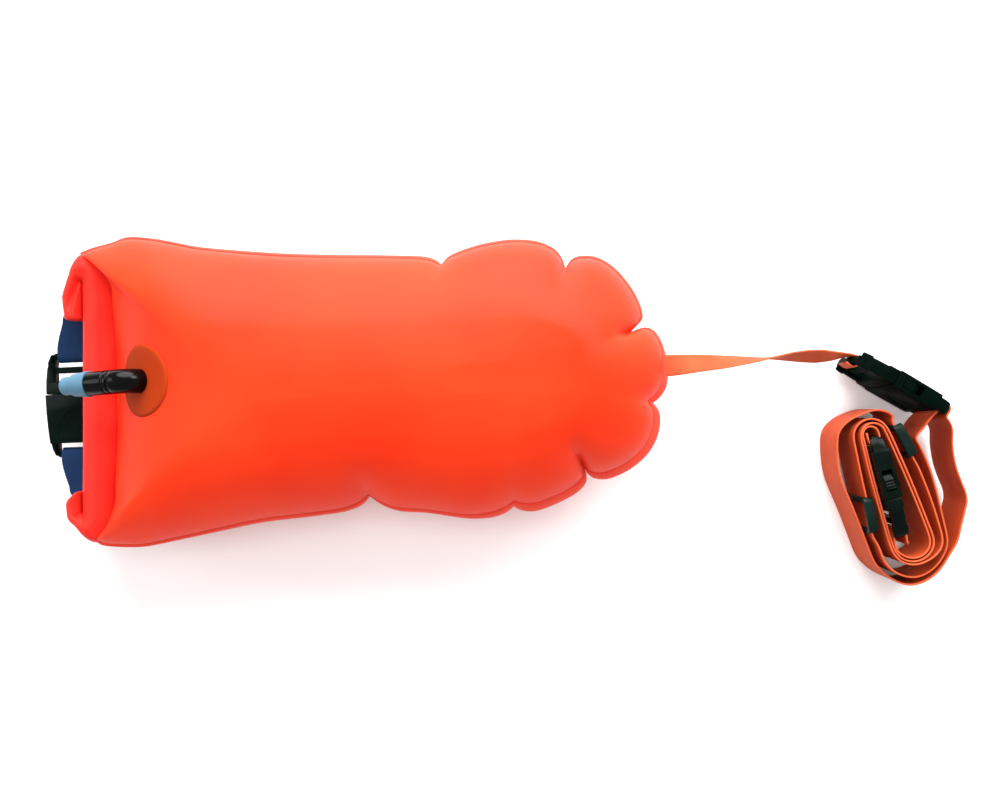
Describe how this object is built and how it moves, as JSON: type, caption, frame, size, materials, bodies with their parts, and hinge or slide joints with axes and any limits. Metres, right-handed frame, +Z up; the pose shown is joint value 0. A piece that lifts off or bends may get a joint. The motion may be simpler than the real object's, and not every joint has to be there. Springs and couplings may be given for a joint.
{
  "type": "open water swim buoy",
  "caption": "Inflated roll-top float bag with scalloped welded end, oral valve, roll closure buckle, short leash with release buckle and a coiled webbing waist belt.",
  "frame": {"origin": "middle of the flat patch under the float that it rests on", "axes": "+X along the float from the rolled mouth to the scalloped end and the leash, +Z up through the front panel with the valve"},
  "size_m": [0.6893, 0.2811, 0.13],
  "materials": {
    "coated_fabric": "satin coated fabric",
    "liner_film": "satin film",
    "patch_fabric": "satin coated fabric",
    "blue_webbing": "woven",
    "orange_webbing": "woven",
    "black_acetal": "moulded semi-gloss",
    "black_rubber": "moulded gloss",
    "pale_blue_plastic": "moulded satin",
    "spring_steel": "drawn wire"
  },
  "bodies": {
    "float": {"outer_front_panel": "coated_fabric", "outer_back_panel": "coated_fabric", "liner_front_sheet": "liner_film", "liner_back_sheet": "liner_film", "roll_top": "coated_fabric", "closure_web_upper": "blue_webbing", "closure_web_lower": "blue_webbing", "roll_buckle_female": "black_acetal", "roll_buckle_male": "black_acetal", "valve_patch": "patch_fabric", "valve_elbow": "black_rubber", "valve_tube": "black_rubber", "valve_spring": "spring_steel", "leash_strap": "orange_webbing", "leash_buckle_male": "black_acetal"},
    "roll_prong_a": {"roll_buckle_prong_a": "black_acetal"},
    "roll_prong_b": {"roll_buckle_prong_b": "black_acetal"},
    "leash_prong_a": {"leash_buckle_prong_a": "black_acetal"},
    "leash_prong_b": {"leash_buckle_prong_b": "black_acetal"},
    "push_valve": {"valve_mouthpiece": "pale_blue_plastic", "valve_poppet": "black_acetal", "valve_seal": "black_rubber"},
    "lock_ring": {"valve_lock_ring": "pale_blue_plastic"},
    "waist_belt": {"belt_strap": "orange_webbing", "leash_buckle_female": "black_acetal", "belt_buckle_female": "black_acetal", "belt_buckle_male": "black_acetal"},
    "belt_prong_a": {"belt_buckle_prong_a": "black_acetal"},
    "belt_prong_b": {"belt_buckle_prong_b": "black_acetal"},
    "slider_1": {"belt_slider_1": "black_acetal"},
    "slider_2": {"belt_slider_2": "black_acetal"}
  },
  "joints": [
    {"name": "roll_prong_a_press", "type": "hinge", "parent": "float", "child": "roll_prong_a", "pos_m": [-0.2355, 0.006, 0.044], "axis": [0, 0, 1], "range_deg": [0, 11], "stiffness_Nm_per_rad": 1.2},
    {"name": "roll_prong_b_press", "type": "hinge", "parent": "float", "child": "roll_prong_b", "pos_m": [-0.2065, 0.006, 0.044], "axis": [0, 0, 1], "range_deg": [-11, 0], "stiffness_Nm_per_rad": 1.2},
    {"name": "leash_prong_a_press", "type": "hinge", "parent": "float", "child": "leash_prong_a", "pos_m": [0.38394, -0.00976, 0.04329], "axis": [0.537, 0.8429, -0.0349], "range_deg": [0, 11], "stiffness_Nm_per_rad": 1.2},
    {"name": "leash_prong_b_press", "type": "hinge", "parent": "float", "child": "leash_prong_b", "pos_m": [0.3834, -0.01061, 0.01431], "axis": [0.537, 0.8429, -0.0349], "range_deg": [-11, 0], "stiffness_Nm_per_rad": 1.2},
    {"name": "belt_prong_a_press", "type": "hinge", "parent": "waist_belt", "child": "belt_prong_a", "pos_m": [0.38107, -0.10281, 0.0428], "axis": [-0.9767, -0.2147, 0], "range_deg": [0, 11], "stiffness_Nm_per_rad": 1.2},
    {"name": "belt_prong_b_press", "type": "hinge", "parent": "waist_belt", "child": "belt_prong_b", "pos_m": [0.38107, -0.10281, 0.0138], "axis": [-0.9767, -0.2147, 0], "range_deg": [-11, 0], "stiffness_Nm_per_rad": 1.2},
    {"name": "leash_release", "type": "slide", "parent": "float", "child": "waist_belt", "axis": [0.8434, -0.5373, 0], "range_m": [0, 0.03], "deforming": ["leash_buckle_prong_a", "leash_buckle_prong_b"]},
    {"name": "belt_slider_1_slide", "type": "slide", "parent": "waist_belt", "child": "slider_1", "axis": [-0.4337, 0.9011, 0], "range_m": [-0.004, 0.004]},
    {"name": "belt_slider_2_slide", "type": "slide", "parent": "waist_belt", "child": "slider_2", "axis": [-0.1461, 0.9893, 0], "range_m": [-0.004, 0.004]},
    {"name": "valve_push", "type": "slide", "parent": "float", "child": "push_valve", "axis": [0.9653, 0.0337, 0.2588], "range_m": [0, 0.0025], "stiffness_N_per_m": 400, "deforming": ["valve_spring"]},
    {"name": "valve_lock_turn", "type": "hinge", "parent": "float", "child": "lock_ring", "pos_m": [-0.17217, 0.00815, 0.11256], "axis": [-0.9653, -0.0337, -0.2588], "range_deg": [0, 90]}
  ],
  "couplings": [
    {"joint": "roll_prong_b_press", "follows": "roll_prong_a_press", "ratio": -1},
    {"joint": "leash_prong_b_press", "follows": "leash_prong_a_press", "ratio": -1},
    {"joint": "belt_prong_b_press", "follows": "belt_prong_a_press", "ratio": -1}
  ]
}
